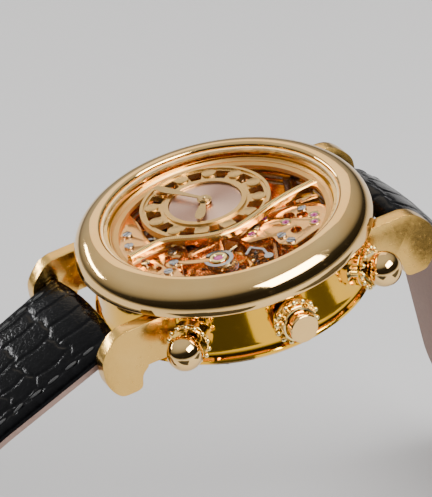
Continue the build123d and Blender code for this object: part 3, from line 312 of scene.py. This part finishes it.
finishes = {
    "case_band case_back_ring crown_tube crown crown_button buckle_frame buckle_bar buckle_tongue bezel "
    "ball_pusher_upper ball_pusher_lower": gold,
    "lugs": lug_gold,
    "pusher_collars": band_gold,
    "rehaut": rehaut_gold,
    "hour_ring hour_medallions": dial_gold,
    "serpentine_bar": bar_gold_painted_groove_shade,
    "hour_hand minute_hand": hand_gold,
    "centre_disc": disc_metal,
    "barrel_bridge train_bridge balance_cock centre_bridge pallet_bridge barrel": rose_gold,
    "main_plate": rose_dark,
    "hammer_high hammer_low": brass,
    "bridge_screws regulator click_spring ratchet_wheel winding_stem clutch_wheel mainspring hairspring "
    "pallet_fork cannon_pinion case_back_screws escape_wheel gongs spring_bars": steel,
    "centre_wheel third_wheel fourth_wheel minute_wheel hour_wheel balance_wheel": brass,
    "crystal back_crystal": sapphire,
    "crystal_gasket back_gasket": seal_with_painted_gold_light,
    "jewels": ruby,
    "strap_12 strap_6 fixed_keeper free_keeper": alligator,
    "strap_12_lining strap_6_lining": lining,
}
for names, material in finishes.items():
    for name in names.split():
        paint(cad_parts[name], material)
print("painted", len(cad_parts), "nodes")


# %% [markdown]
# ## Turned pieces
# The bezel, the ball heads, the collars and the crown were all turned on a lathe, and `bmesh.ops.spin` is
# the same motion: a profile goes once round an axis. Each is spun with far more steps than the CAD mesh
# has, so that a mirror finish shows no facets.

# %% Helpers that finish a mesh
SEAM_GAP = 1e-7


def new_object(name, bm, material):
    """Turns a bmesh into an object in the scene, with its material."""
    mesh = bpy.data.meshes.new(name)
    bm.to_mesh(mesh)
    bm.free()
    obj = bpy.data.objects.new(name, mesh)
    bpy.context.scene.collection.objects.link(obj)
    paint(obj, material)
    return obj


def finish_mesh(name, bm, material, body, replaces=(), sharp=35, recalc=True):
    """Closes the seam, points the faces outwards and hands the mesh over as one piece."""
    bmesh.ops.remove_doubles(bm, verts=bm.verts, dist=SEAM_GAP)
    if recalc:
        bmesh.ops.recalc_face_normals(bm, faces=bm.faces)
    obj = new_object(name, bm, material)
    mesh = obj.data
    mesh.shade_smooth()
    if sharp:
        mesh.set_sharp_from_angle(angle=radians(sharp))
    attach(obj, body)
    if replaces:
        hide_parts(*replaces)
    print(f"{name}: {len(mesh.polygons)} faces on {body}")
    return obj


def spin_profile(bm, points, steps, matrix=Matrix()):
    """Spins (radius, height) points, in mm, about Z, then adds the result to bm in its place."""
    turned = bmesh.new()
    made = [turned.verts.new((radius * MM, 0, height * MM)) for radius, height in points]
    edges = [turned.edges.new(pair) for pair in zip(made, made[1:])]
    bmesh.ops.spin(turned, geom=made + edges, cent=(0, 0, 0), axis=(0, 0, 1), angle=2 * pi, steps=steps,
                   use_merge=True)
    bmesh.ops.transform(turned, matrix=matrix, verts=turned.verts)
    mesh = bpy.data.meshes.new("turned")
    turned.to_mesh(mesh)
    turned.free()
    bm.from_mesh(mesh)
    bpy.data.meshes.remove(mesh)


def arc(centre, size, first, last, count):
    """Points on part of an ellipse, in mm, from the first angle to the last."""
    points = []
    for i in range(count + 1):
        angle = radians(first + (last - first) * i / count)
        points.append((centre[0] + size[0] * cos(angle), centre[1] + size[1] * sin(angle)))
    return points


# %% [markdown]
# The bezel's outside is a quarter ellipse with a rounded lip. A small flat land at its foot throws the thin
# bright line that parts the bezel from the case band.

# %% Bezel
bezel_points = [(16.85, 9.0), (19.75, 9.0), (19.9, 9.06), (19.97, 9.16)]
bezel_points += arc((16.4, 9.3), (3.6, 3.75), 0, 90, 40)
bezel_points += arc((16.4, 12.49), (0.56, 0.56), 90, 180, 10)[1:]
bezel_points += [(15.84, 12.05), (15.09, 12.05), (15.09, 11.4), (16.85, 11.4), (16.85, 9.0)]
bm = bmesh.new()
spin_profile(bm, bezel_points, 256)
finish_mesh("domed_bezel", bm, gold, "case", ["bezel"])

# %% [markdown]
# The band under the bezel is recessed and slightly hollow, and its foot flares into the back flange.

# %% Case band
band_points = [(15.0, 1.02), (18.62, 1.02), (18.7, 1.1), (18.7, 1.45), (18.6, 1.58), (18.25, 1.66)]
band_points += [(18.1, 1.9), (18.02, 3.0), (18.0, 5.0), (18.02, 7.5), (18.1, 8.7), (18.1, 9.0), (16.85, 9.0),
                (16.85, 11.38), (15.0, 11.38), (15.0, 1.02)]
bm = bmesh.new()
spin_profile(bm, band_points, 256)
finish_mesh("case_middle", bm, band_gold, "case", ["case_band"])


# %% [markdown]
# ## Pushers and crown
# Each pusher is a ball on a stem. It slides in a collar that ends in a ring of small beads, as a jeweller
# would make by granulation. A local frame puts Z along the pusher, so that all of them share one recipe.

# %% Frames along the pushers
STEM_Z = 5.2


def outward(angle):
    """A frame whose Z leaves the case at this angle, at stem height."""
    out = Vector((cos(radians(angle)), sin(radians(angle)), 0))
    up = Vector((0, 0, 1))
    side = up.cross(out)
    turn = Matrix((up, side, out)).transposed().to_4x4()
    return Matrix.Translation((0, 0, STEM_Z * MM)) @ turn


def add_beads(bm, frame_at, reach, circle, radius, count=14):
    """A ring of small balls on a circle, at this distance out along the frame's Z."""
    for i in range(count):
        angle = 2 * pi * i / count
        spot = Matrix.Translation(Vector((circle * cos(angle), circle * sin(angle), reach)) * MM)
        bmesh.ops.create_uvsphere(bm, u_segments=16, v_segments=12, radius=radius * MM,
                                  matrix=frame_at @ spot)


# %% Ball pushers
CROWN_ANGLE = 180
PUSHER_SPREAD = 41.5
PUSHERS = (("upper", CROWN_ANGLE - PUSHER_SPREAD), ("lower", CROWN_ANGLE + PUSHER_SPREAD))
BALL_RADIUS = 2.36
BALL_AT = 22.0
STEM_RADIUS = 0.8
STEM_START = 16.4
STEM_END = 20.2

for label, angle in PUSHERS:
    bm = bmesh.new()
    ball = [(0.0, BALL_AT - BALL_RADIUS)] + arc((0, BALL_AT), (BALL_RADIUS, BALL_RADIUS), -85, 90, 40)
    spin_profile(bm, ball, 64, outward(angle))
    stem = [(0.0, STEM_START), (STEM_RADIUS, STEM_START), (STEM_RADIUS, STEM_END), (0.0, STEM_END)]
    spin_profile(bm, stem, 32, outward(angle))
    finish_mesh(f"ball_head_{label}", bm, gold, f"pusher_{label}_body",
                [f"ball_pusher_{label}"])

# %% Beaded collars
collar = [(0.86, 17.75), (2.6, 17.75), (2.5, 18.0), (2.46, 18.3), (2.46, 19.2), (2.4, 19.26)]
collar += [(2.46, 19.32), (2.54, 19.5), (2.58, 19.7), (2.56, 19.9), (2.48, 19.98), (2.32, 20.0)]
ball_cup = [(2.2, 19.85), (2.0, 19.53), (1.6, 19.1), (1.2, 18.83), (0.86, 18.67), (0.86, 17.75)]
bm = bmesh.new()
for label, angle in PUSHERS:
    spin_profile(bm, collar + ball_cup, 72, outward(angle))
    add_beads(bm, outward(angle), 20.1, 2.64, 0.35)
finish_mesh("beaded_collars", bm, bead_gold, "case", ["pusher_collars"])

# %% [markdown]
# The crown is a base disc with its own bead ring and a short collar. The flat button sits inside that
# collar, so the gap between the two stays open and shows as a fine dark ring.

# %% Crown and its button
bm = bmesh.new()
crown_base = [(0.6, 18.4), (2.5, 18.4), (2.95, 18.62), (3.0, 18.85), (3.0, 19.2), (2.88, 19.4), (2.5, 19.44)]
crown_neck = [(2.45, 19.56), (2.4, 19.75), (2.34, 20.0), (2.38, 20.1), (2.32, 20.16), (2.4, 20.24)]
crown_lip = [(2.4, 20.55), (2.32, 20.68), (2.12, 20.7), (2.06, 20.62), (2.06, 19.0), (0.6, 19.0), (0.6, 18.4)]
spin_profile(bm, crown_base + crown_neck + crown_lip, 72, outward(CROWN_ANGLE))
add_beads(bm, outward(CROWN_ANGLE), 19.66, 2.84, 0.39)
finish_mesh("beaded_crown", bm, bead_gold, "crown_body", ["crown"])
bm = bmesh.new()
button = [(0.0, 19.85), (2.0, 19.85), (2.0, 21.8), (1.96, 21.92), (1.86, 22.0), (0.0, 22.0)]
spin_profile(bm, button, 64, outward(CROWN_ANGLE))
finish_mesh("flat_crown_button", bm, gold, "button_body", ["crown_button"])


# %% [markdown]
# ## Bevelled plates
# A watch finisher polishes a narrow slope round the edge of each bridge. The CAD pieces have square edges,
# so a copy of each is merged, its flat faces are joined, and every sharp edge gets a bevel.

# %% Bevelled copies of CAD pieces
def bevelled(node, material, body, width, segments=2, angle=32):
    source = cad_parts[node].data
    bm = bmesh.new()
    bm.from_mesh(source)
    bmesh.ops.remove_doubles(bm, verts=bm.verts, dist=2e-6)
    bmesh.ops.dissolve_limit(bm, angle_limit=radians(1.0), verts=bm.verts, edges=bm.edges)
    sharp = [e for e in bm.edges if len(e.link_faces) == 2 and e.calc_face_angle(0) > radians(angle)]
    bmesh.ops.bevel(bm, geom=sharp, offset=width * MM, offset_type="OFFSET", affect="EDGES",
                    segments=segments, profile=0.5, material=-1, clamp_overlap=True)
    return finish_mesh(f"{node}_bevelled", bm, material, body, [node], 30, False)


for node in ("barrel_bridge", "train_bridge", "balance_cock", "centre_bridge", "pallet_bridge"):
    bevelled(node, rose_gold, "case", 0.1)
bevelled("lugs", lug_gold, "case", 0.16, 3)
bevelled("hour_medallions", dial_gold, "case", 0.05)
bevelled("bridge_screws", steel, "case", 0.05)
bevelled("hammer_high", brass, "hammer_high_body", 0.1)
bevelled("hammer_low", brass, "hammer_low_body", 0.1)
bevelled("fixed_keeper", alligator, "short_strap", 0.3, 3)
bevelled("free_keeper", alligator, "free_keeper_body", 0.3, 3)
bevelled("buckle_frame", gold, "buckle_body", 0.3, 3)
bevelled("buckle_tongue", gold, "tongue_body", 0.15)

# %% [markdown]
# ## Jewel setting
# The balance's upper jewel sits in a polished gold ring, a chaton, and is cut as a shallow dome. Both are
# turned. The smaller jewels keep their CAD shape, and a narrow ring is set round each of them.

# %% Chaton and domed jewel of the balance
BALANCE = Matrix.Translation(Vector((-7.0, 4.05, 0)) * MM)
bm = bmesh.new()
chaton = [(0.62, 10.2), (1.18, 10.2), (1.2, 10.36)] + arc((1.02, 10.36), (0.18, 0.14), 0, 90, 5)
chaton += [(0.78, 10.5), (0.64, 10.38), (0.62, 10.2)]
spin_profile(bm, chaton, 48, BALANCE)
small_ring = [(0.5, 10.19), (0.78, 10.19), (0.76, 10.27), (0.68, 10.3), (0.5, 10.22), (0.5, 10.19)]
for place in ((-2.15, -5.05), (-5.03, -6.85), (-6.0, -10.6), (-7.5, -9.9), (-4.6, -2.05)):
    spin_profile(bm, small_ring, 28, Matrix.Translation(Vector((*place, 0)) * MM))
finish_mesh("jewel_chatons", bm, bead_gold, "case")
bm = bmesh.new()
dome = [(0.0, 10.2), (0.62, 10.2), (0.62, 10.34), (0.5, 10.4), (0.3, 10.43), (0.0, 10.44)]
spin_profile(bm, dome, 32, BALANCE)
finish_mesh("balance_domed_jewel", bm, ruby, "case")

# %% [markdown]
# ## The winding bar
# A slim bar snakes across the dial from 12 to 6. Its side is plain and its top is milled with a row of fine
# ridges, like a coin's edge. The bar follows a smooth curve through nine points, offset to each side; the
# ridges are about a hundred small blocks, each of six faces, laid along the same curve. The ridges take a
# paler gold than the bar under them, so the floor between them is painted darker: painted shade in the
# grooves.

# %% A smooth curve through points
BAR_ROUTE = [(-0.6, 13.75), (-0.2, 11.2), (0.0, 9.0), (-1.9, 5.4), (-3.6, 1.8), (-3.7, -0.4),
             (-2.3, -5.0), (-1.0, -10.0), (-0.6, -13.75)]
BAR_WIDTH = 1.1
BAR_LOW = 10.75
BAR_HIGH = 11.62


def solve_spline(values, knots):
    """Second derivatives of a natural cubic spline."""
    count = len(values)
    upper = [0.0] * count
    second = [0.0] * count
    for i in range(1, count - 1):
        share = (knots[i] - knots[i - 1]) / (knots[i + 1] - knots[i - 1])
        pivot = share * second[i - 1] + 2
        second[i] = (share - 1) / pivot
        rise = (values[i + 1] - values[i]) / (knots[i + 1] - knots[i])
        rise -= (values[i] - values[i - 1]) / (knots[i] - knots[i - 1])
        upper[i] = (6 * rise / (knots[i + 1] - knots[i - 1]) - share * upper[i - 1]) / pivot
    for i in range(count - 2, -1, -1):
        second[i] = second[i] * second[i + 1] + upper[i]
    return second


def smooth_route(points, count):
    """A smooth curve through the points, as count short steps."""
    knots = [0.0]
    for a, b in zip(points, points[1:]):
        knots.append(knots[-1] + hypot(b[0] - a[0], b[1] - a[1]))
    curves = [[p[axis] for p in points] for axis in (0, 1)]
    bends = [solve_spline(values, knots) for values in curves]
    route = []
    for step in range(count + 1):
        t = knots[-1] * step / count
        i = max(k for k in range(len(knots) - 1) if knots[k] <= t)
        h = knots[i + 1] - knots[i]
        a, b = (knots[i + 1] - t) / h, (t - knots[i]) / h
        place = []
        for values, bend in zip(curves, bends):
            value = a * values[i] + b * values[i + 1]
            value += ((a ** 3 - a) * bend[i] + (b ** 3 - b) * bend[i + 1]) * h * h / 6
            place.append(value)
        route.append(Vector(place))
    return route


bar_line = smooth_route(BAR_ROUTE, 330)
print("bar line:", len(bar_line), "points")


def bar_side(i):
    """The unit vector across the bar at this point of its line."""
    ahead = bar_line[min(i + 1, len(bar_line) - 1)] - bar_line[max(i - 1, 0)]
    return Vector((-ahead.y, ahead.x)).normalized()


# %% Bar body and its milled top
def wall_strip(bm, line, outline):
    """Sweeps an outline of (across, height) points, in mm, along the line and caps both ends."""
    rings = []
    for i, point in enumerate(line):
        across = bar_side(i)
        ring = []
        for x, z in outline:
            spot = point + across * x
            ring.append(bm.verts.new(Vector((spot.x, spot.y, z)) * MM))
        rings.append(ring)
    count = len(outline)
    for near, far in zip(rings, rings[1:]):
        for k in range(count):
            bm.faces.new((near[k], near[(k + 1) % count], far[(k + 1) % count], far[k]))
    bm.faces.new(rings[0])
    bm.faces.new(rings[-1][::-1])


GROOVE_DEPTH = 0.22
RIDGE_STEP = 3
RIDGE_SIZE = Vector((0.66, 0.12, 0.34))
half = BAR_WIDTH / 2
bar_right = [(half, BAR_LOW), (half, BAR_HIGH - 0.1), (half - 0.08, BAR_HIGH), (half - 0.2, BAR_HIGH),
             (half - 0.24, BAR_HIGH - GROOVE_DEPTH)]
bar_outline = [(-half, BAR_LOW)] + bar_right + [(-x, z) for x, z in bar_right[:0:-1]]
bm = bmesh.new()
wall_strip(bm, bar_line, bar_outline)
finish_mesh("winding_bar", bm, bar_gold_painted_groove_shade, "case", ["serpentine_bar"], 30)
bm = bmesh.new()
for i in range(2, len(bar_line) - 2, RIDGE_STEP):
    across = bar_side(i)
    turn = Matrix.Rotation(atan2(across.y, across.x), 4, "Z")
    spot = Matrix.Translation(Vector((*bar_line[i], BAR_HIGH - 0.05)) * MM)
    shape = Matrix.Diagonal((*RIDGE_SIZE * MM, 1))
    bmesh.ops.create_cube(bm, size=1.0, matrix=spot @ turn @ shape)
# Painted light and shade: the ridges take a paler gold than the bar, so their tops read lit and the bar
# between them reads shaded.
finish_mesh("winding_bar_milled_top", bm, bead_gold, "case", (), 30)


# %% [markdown]
# ## Strap
# Each half is one padded sheet of leather that leaves its spring bar, bends and reaches the table. The mesh
# starts as a flat grid in the strap's own measure: across, and along its length. Every point is then carried
# to the curved path, raised by the padding and lowered in the creases between scales. The scales are rows of
# uneven blocks. The tail of the long half ends in a round tip with six holes for the tongue.

# %% The path of each strap half
BAR_AT = (21.5, 5.0)
SHORT = {"side": 1, "lean": 8, "legs": [(2.7, -13), (14, 0), (32, -51), (24.40, 0)]}
LONG = {"side": -1, "lean": 32, "legs": [(15.5, -54), (18.98, 0), (33.02, 86), (42, 0)]}


def strap_point(half_strap, run):
    """Place in the YZ plane and outward normal, at this distance along the strap, in mm."""
    y, z = BAR_AT
    angle = radians(-half_strap["lean"])
    if run < 0:
        angle -= run / 1.6
        return Vector((y, z)), Vector((-sin(angle), cos(angle)))
    for length, turn in half_strap["legs"]:
        part = min(run, length)
        bend = radians(turn) * part / length
        chord = part if abs(bend) < 1e-6 else 2 * part / bend * sin(bend / 2)
        y += chord * cos(angle + bend / 2)
        z += chord * sin(angle + bend / 2)
        angle += bend
        run -= part
        if run <= 0:
            break
    return Vector((y, z)), Vector((-sin(angle), cos(angle)))


def strap_length(half_strap):
    return sum(length for length, _ in half_strap["legs"])


def on_strap(half_strap, x, run, height):
    """The place in space of a point across, along and above the strap's own base line."""
    spot, normal = strap_point(half_strap, run)
    spot = spot + normal * height
    return Vector((x, half_strap["side"] * spot.x, spot.y)) * MM


for name, half_strap in (("short", SHORT), ("long", LONG)):
    end, _ = strap_point(half_strap, strap_length(half_strap))
    print(f"{name} strap half: {strap_length(half_strap):.1f} mm, ends at {end.x:.2f}, {end.y:.2f}")


# %% [markdown]
# A strap narrows from the lugs towards the buckle. The tip and the holes are not cut out: the width shrinks
# along a circle, and the sheet's top sinks to the lining wherever a point falls inside a hole.

# %% Width, tip and holes
WIDTH_AT_LUGS = 19.86
WIDTH_AT_BUCKLE = 16.4
TAPER_SHARE = 1.3
TIP_RADIUS = 8.2
HOLE_COUNT = 6
HOLE_STEP = 6.3
HOLE_TO_TIP = 14
HOLE_RADIUS = 0.95


def strap_width(half_strap, run):
    tapered = min(1, max(0, run) / strap_length(half_strap) * TAPER_SHARE)
    width = WIDTH_AT_LUGS - (WIDTH_AT_LUGS - WIDTH_AT_BUCKLE) * tapered
    into_tip = run - (strap_length(half_strap) - TIP_RADIUS)
    if half_strap is LONG and into_tip > 0:
        width = 2 * max(0.05, TIP_RADIUS ** 2 - into_tip ** 2) ** 0.5
    return width


def in_hole(half_strap, x, run):
    """True inside one of the holes in the tail of the long half."""
    back = strap_length(half_strap) - run - HOLE_TO_TIP
    step = min(HOLE_COUNT - 1, max(0, round(back / HOLE_STEP)))
    return half_strap is LONG and hypot(x, back - HOLE_STEP * step) < HOLE_RADIUS


# %% [markdown]
# Creases between the scales are what makes alligator leather look real, so they are geometry. Each point asks
# how far the nearest crease is, and a bell curve of that distance says how deep it sinks.

# %% Scales: uneven rows, each cut into blocks
CREASE_WIDTH = 0.24


def scale_rows(length, seed):
    """Rows of (start, end, cuts across, tilt) from before the bar to past the tip."""
    rng = random.Random(seed)
    rows = []
    place = -6.0
    while place < length + 6:
        height = rng.uniform(4.2, 6.6)
        middle = rng.uniform(-1.0, 1.0)
        cuts = [middle - rng.uniform(7.0, 8.0), middle - rng.uniform(3.6, 4.8), middle,
                middle + rng.uniform(3.8, 4.8), middle + rng.uniform(7.2, 8.2)]
        rows.append((place, place + height, cuts, rng.uniform(-0.9, 0.9)))
        place += height
    return rows


def crease(rows, x, run):
    """0 in the middle of a scale and 1 at the bottom of a crease."""
    wave = 0.35 * sin(x * 0.9) + 0.2 * sin(x * 2.3 + 1)
    nearest = 9.0
    for low, high, cuts, tilt in rows:
        bent = run + wave + tilt * x * 0.05
        if low - 1 <= bent <= high + 1:
            nearest = min(nearest, abs(bent - low), abs(bent - high))
            if low <= bent <= high:
                side = 0.25 * sin(run * 1.1)
                nearest = min(nearest, min(abs(x + side - cut) for cut in cuts))
    return bell(nearest / CREASE_WIDTH)


def bell(distance):
    return exp(-distance ** 2)


# %% Build a sheet on the strap
def across_strap(half_strap, run, share, span):
    """How far from the middle a share of the width is: of the span, or with no span of the whole strap."""
    half_width = strap_width(half_strap, run) / 2
    if span is None:
        return (2 * share - 1) * half_width
    return max(-half_width, min(half_width, span[0] + (span[1] - span[0]) * share))


def strap_sheet(bm, half_strap, span, runs, low, top, steps):
    """A closed sheet: its top follows top(x, run) and its underside follows low(x, run)."""
    grid = bmesh.ops.create_grid(bm, x_segments=steps[0], y_segments=steps[1], size=1.0)
    upper = grid["verts"]
    faces = list({face for vert in upper for face in vert.link_faces})
    grown = bmesh.ops.extrude_face_region(bm, geom=faces)
    lower = [part for part in grown["geom"] if isinstance(part, bmesh.types.BMVert)]
    for verts, height in ((lower, low), (upper, top)):
        for vert in verts:
            run = runs[0] + (runs[1] - runs[0]) * (vert.co.y + 1) / 2
            x = across_strap(half_strap, run, (vert.co.x + 1) / 2, span)
            vert.co = on_strap(half_strap, x, run, height(x, run))


# %% The padded and creased top
PAD_HEIGHT = 1.88
PAD_DROP = 0.75
EDGE_HEIGHT = 0.95
HOLE_FLOOR = 0.02
SEAM_INSET = 1.7
SEAM_DEPTH = 0.09
SCALE_DEPTH = 0.15


def leather_top(half_strap, rows):
    """The height of the leather's top above the strap's base line, as a function of x and run."""
    length = strap_length(half_strap)

    def height(x, run, half_width=None):
        if in_hole(half_strap, x, run):
            return HOLE_FLOOR
        if half_width is None:
            half_width = strap_width(half_strap, run) / 2
        pad = PAD_HEIGHT - PAD_DROP * min(1, max(0, run) / length * 1.6)
        share = abs(x) / half_width
        round_edge = max(0.0, share - 0.93) / 0.07
        dome = EDGE_HEIGHT + (pad - EDGE_HEIGHT) * (1 - share ** 2.2) - 0.3 * round_edge ** 2
        seam = SEAM_DEPTH * bell((half_width - abs(x) - SEAM_INSET) / 0.25)
        scale = SCALE_DEPTH * crease(rows, x, run) * (1 if share < 0.86 else 0.35)
        return dome - seam - scale

    return height


# %% [markdown]
# The short half ends in two tabs, because the buckle's tongue swings between them. Each tab ends in an eye
# round the bar, which is a short cylinder across the strap.

# %% Tabs that hold the buckle's bar
TAB_SPANS = ((-8.2, -1.5), (1.5, 8.2))
TAB_LENGTH = 3.4
TAB_EYE_RADIUS = 1.62


def buckle_tabs(bm, half_strap):
    """Two tongues of leather, each rolled round the buckle's bar at the end of the short half."""
    length = strap_length(half_strap)
    start = length - TAB_LENGTH - 0.2
    sideways = Matrix.Rotation(pi / 2, 4, "Y")
    for span in TAB_SPANS:
        strap_sheet(bm, half_strap, span, (start, length - 0.62), lambda x, run: -0.55,
                    lambda x, run: EDGE_HEIGHT, (6, 6))
        middle = Matrix.Translation(on_strap(half_strap, sum(span) / 2, length, 0))
        bmesh.ops.create_cone(bm, cap_ends=True, segments=32, radius1=TAB_EYE_RADIUS * MM,
                              radius2=TAB_EYE_RADIUS * MM, depth=(span[1] - span[0]) * MM,
                              matrix=middle @ sideways)


# %% [markdown]
# The seam is sewn with waxed black thread. Each stitch is a stretched ball with few faces, turned along the
# path: an even row of them reads as sewing even from far away.

# %% Stitches
STITCH_STEP = 2.9
STITCH_SIZE = Vector((1.0, 0.26, 0.2))


def sew(bm, half_strap, top, end):
    """Lays a row of short, rounded stitches along the seam on each side.

    Both heights use the strap's width where the stitch starts, so a stitch lies along the bottom of the
    seam's groove and doesn't tilt with the strap's taper.
    """
    run = 2.6
    while run < end - 1.5:
        half_width = strap_width(half_strap, run) / 2
        for side in (-1, 1):
            x = side * (half_width - SEAM_INSET)
            spot = on_strap(half_strap, x, run, top(x, run, half_width) + 0.04)
            ahead = on_strap(half_strap, x, run + 0.5, top(x, run + 0.5, half_width) + 0.04)
            turn = (ahead - spot).to_track_quat("X", "Z").to_matrix().to_4x4()
            shape = Matrix.Diagonal((*STITCH_SIZE * MM, 1))
            bmesh.ops.create_uvsphere(bm, u_segments=8, v_segments=6, radius=1.0,
                                      matrix=Matrix.Translation(spot) @ turn @ shape)
        run += STITCH_STEP


# %% Straps, linings and stitches
UNDER_BAR = -3.4
LINING_START = 1.75


def leather_underside(x, run):
    """The leather is thin where it goes round the spring bar, and lies on the lining after that."""
    return EDGE_HEIGHT if run < 0.9 else 0.0


for label, half_strap, body, node, seed in (("short", SHORT, "short_strap", "strap_12", 11),
                                            ("long", LONG, "long_strap", "strap_6", 23)):
    end = strap_length(half_strap)
    if label == "short":
        end -= TAB_LENGTH
    top = leather_top(half_strap, scale_rows(strap_length(half_strap), seed))
    bm = bmesh.new()
    strap_sheet(bm, half_strap, None, (UNDER_BAR, end), leather_underside, top, (84, 300))
    if label == "short":
        buckle_tabs(bm, half_strap)
    finish_mesh(f"{label}_strap_alligator", bm, alligator, body, [node], 50)
    bm = bmesh.new()
    strap_sheet(bm, half_strap, None, (LINING_START, end), lambda x, run: -0.8, lambda x, run: -0.02,
                (12, 120))
    finish_mesh(f"{label}_strap_calf", bm, lining, body, [f"{node}_lining"], 50)
    bm = bmesh.new()
    sew(bm, half_strap, top, end)
    finish_mesh(f"{label}_strap_stitches", bm, thread, body, (), 0)

# %% [markdown]
# ## Studio
# A pale floor and a pale room. Polished gold shows whatever stands round it, so the lights are large soft
# boxes, and two dark cards outside the view give the bezel its dark band.

# %% Floor and world
def plain(name, colour, roughness):
    tree = material_tree(name, roughness=roughness)
    cloud = tree.noise(tree.place(), 3.0, 2.0)
    deeper = tuple(value * 0.985 for value in colour)
    tree.drive("Base Color", tree.mix(cloud, rgb(*colour), rgb(*deeper)))
    return tree.owner


GROUND = -48.0 * MM
bm = bmesh.new()
bmesh.ops.create_grid(bm, x_segments=1, y_segments=1, size=3.0)
bmesh.ops.translate(bm, verts=bm.verts, vec=(0, 0, GROUND - 0.0003))
floor = new_object("studio floor", bm, plain("pale floor", (0.36, 0.356, 0.357), 0.9))
print("floor at", round(GROUND * 1000, 1), "mm")

# %% [markdown]
# The room is a ramp from a dark floor line to a pale ceiling, a little brighter on the far side. It is the
# world's colour, so it both lights the watch and shows in the gold. The ramp reads the direction in which a
# ray leaves the scene, mostly its height.

# %% Room
WORLD_STOPS = [(0.02, (0.03, 0.028, 0.026)), (0.28, (0.05, 0.05, 0.05)), (0.5, (0.5, 0.5, 0.5)),
               (0.75, (0.75, 0.75, 0.75)), (0.95, (0.9, 0.9, 0.9))]
room = Tree(bpy.data.worlds.new("studio"), "Background", strength=0.75)
bpy.context.scene.world = room.owner
across, _, height = room.split(room.node("ShaderNodeTexCoord", {}, {})[GENERATED_SOCKET])
room.drive("Color", room.ramp(height + across * 0.4, WORLD_STOPS))


# %% Lights and cards
def aim(obj, place, target):
    obj.location = place
    obj.rotation_euler = (Vector(target) - Vector(place)).to_track_quat("-Z", "Y").to_euler()


def softbox(name, place, target, size, power, colour=(1, 1, 1)):
    light = bpy.data.lights.new(name, "AREA")
    light.shape = "RECTANGLE"
    light.size, light.size_y = size
    light.energy = power
    light.color = colour
    obj = bpy.data.objects.new(name, light)
    bpy.context.scene.collection.objects.link(obj)
    aim(obj, place, target)
    return obj


def dark_card(name, x, y, width, depth):
    """A dark sheet just above the floor, seen only in reflections."""
    bm = bmesh.new()
    bmesh.ops.create_grid(bm, x_segments=1, y_segments=1, size=0.5)
    bmesh.ops.scale(bm, vec=(width, depth, 1), verts=bm.verts)
    obj = new_object(name, bm, plain(name, (0.01, 0.01, 0.01), 0.8))
    aim(obj, (x, y, CARD_HEIGHT), (x, y, -1))
    obj.visible_camera = False
    obj.visible_shadow = False
    obj.visible_diffuse = False


CARD_HEIGHT = GROUND + 0.5 * MM
softbox("front box", (-0.31, -0.19, 0.35), (0, 0, 0.01), (0.40, 0.22), 5.5)
softbox("rim box", (0.48, 0.29, 0.20), (0, 0, -0.01), (0.35, 0.05), 1.6)
softbox("back box", (0.44, -0.18, 0.31), (0, 0, 0.01), (0.40, 0.26), 0.35, (1.0, 0.80, 0.55))
overhead = softbox("overhead", (0.05, 0.10, 0.60), (0, 0, 0), (0.5, 0.5), 5.5)
overhead.visible_glossy = False
fill = softbox("left fill", (0.10, 0.6, 0.25), (0, 0, 0), (0.3, 0.3), 2.0)
fill.visible_glossy = False
dark_card("dark card", -0.10, -0.12, 0.10, 0.14)
dark_card("left dark card", -0.115, 0.10, 0.11, 0.15)
print("five lights and two cards set")

# %% [markdown]
# ## Camera
# A long lens from a little above and beside 9 o'clock, rolled a few degrees, as for a tight product shot.

# %% Camera
CAMERA_AT = Vector((-367.2, 137.3, 250.9)) * MM
RIGHT = Vector((-0.438, -0.883, -0.169))
LOOK = Vector((0.7963, -0.2944, -0.5285)).normalized()
side = (RIGHT - LOOK * RIGHT.dot(LOOK)).normalized()
upward = side.cross(LOOK)
lens = bpy.data.cameras.new("camera")
lens.sensor_width = 36
lens.lens = 253.5
lens.clip_start = 0.01
camera = bpy.data.objects.new("camera", lens)
turn = Matrix((side, upward, -LOOK)).transposed().to_4x4()
camera.matrix_world = Matrix.Translation(CAMERA_AT) @ turn
bpy.context.scene.collection.objects.link(camera)
bpy.context.scene.camera = camera
print("camera", round(CAMERA_AT.length * 1000), "mm away")
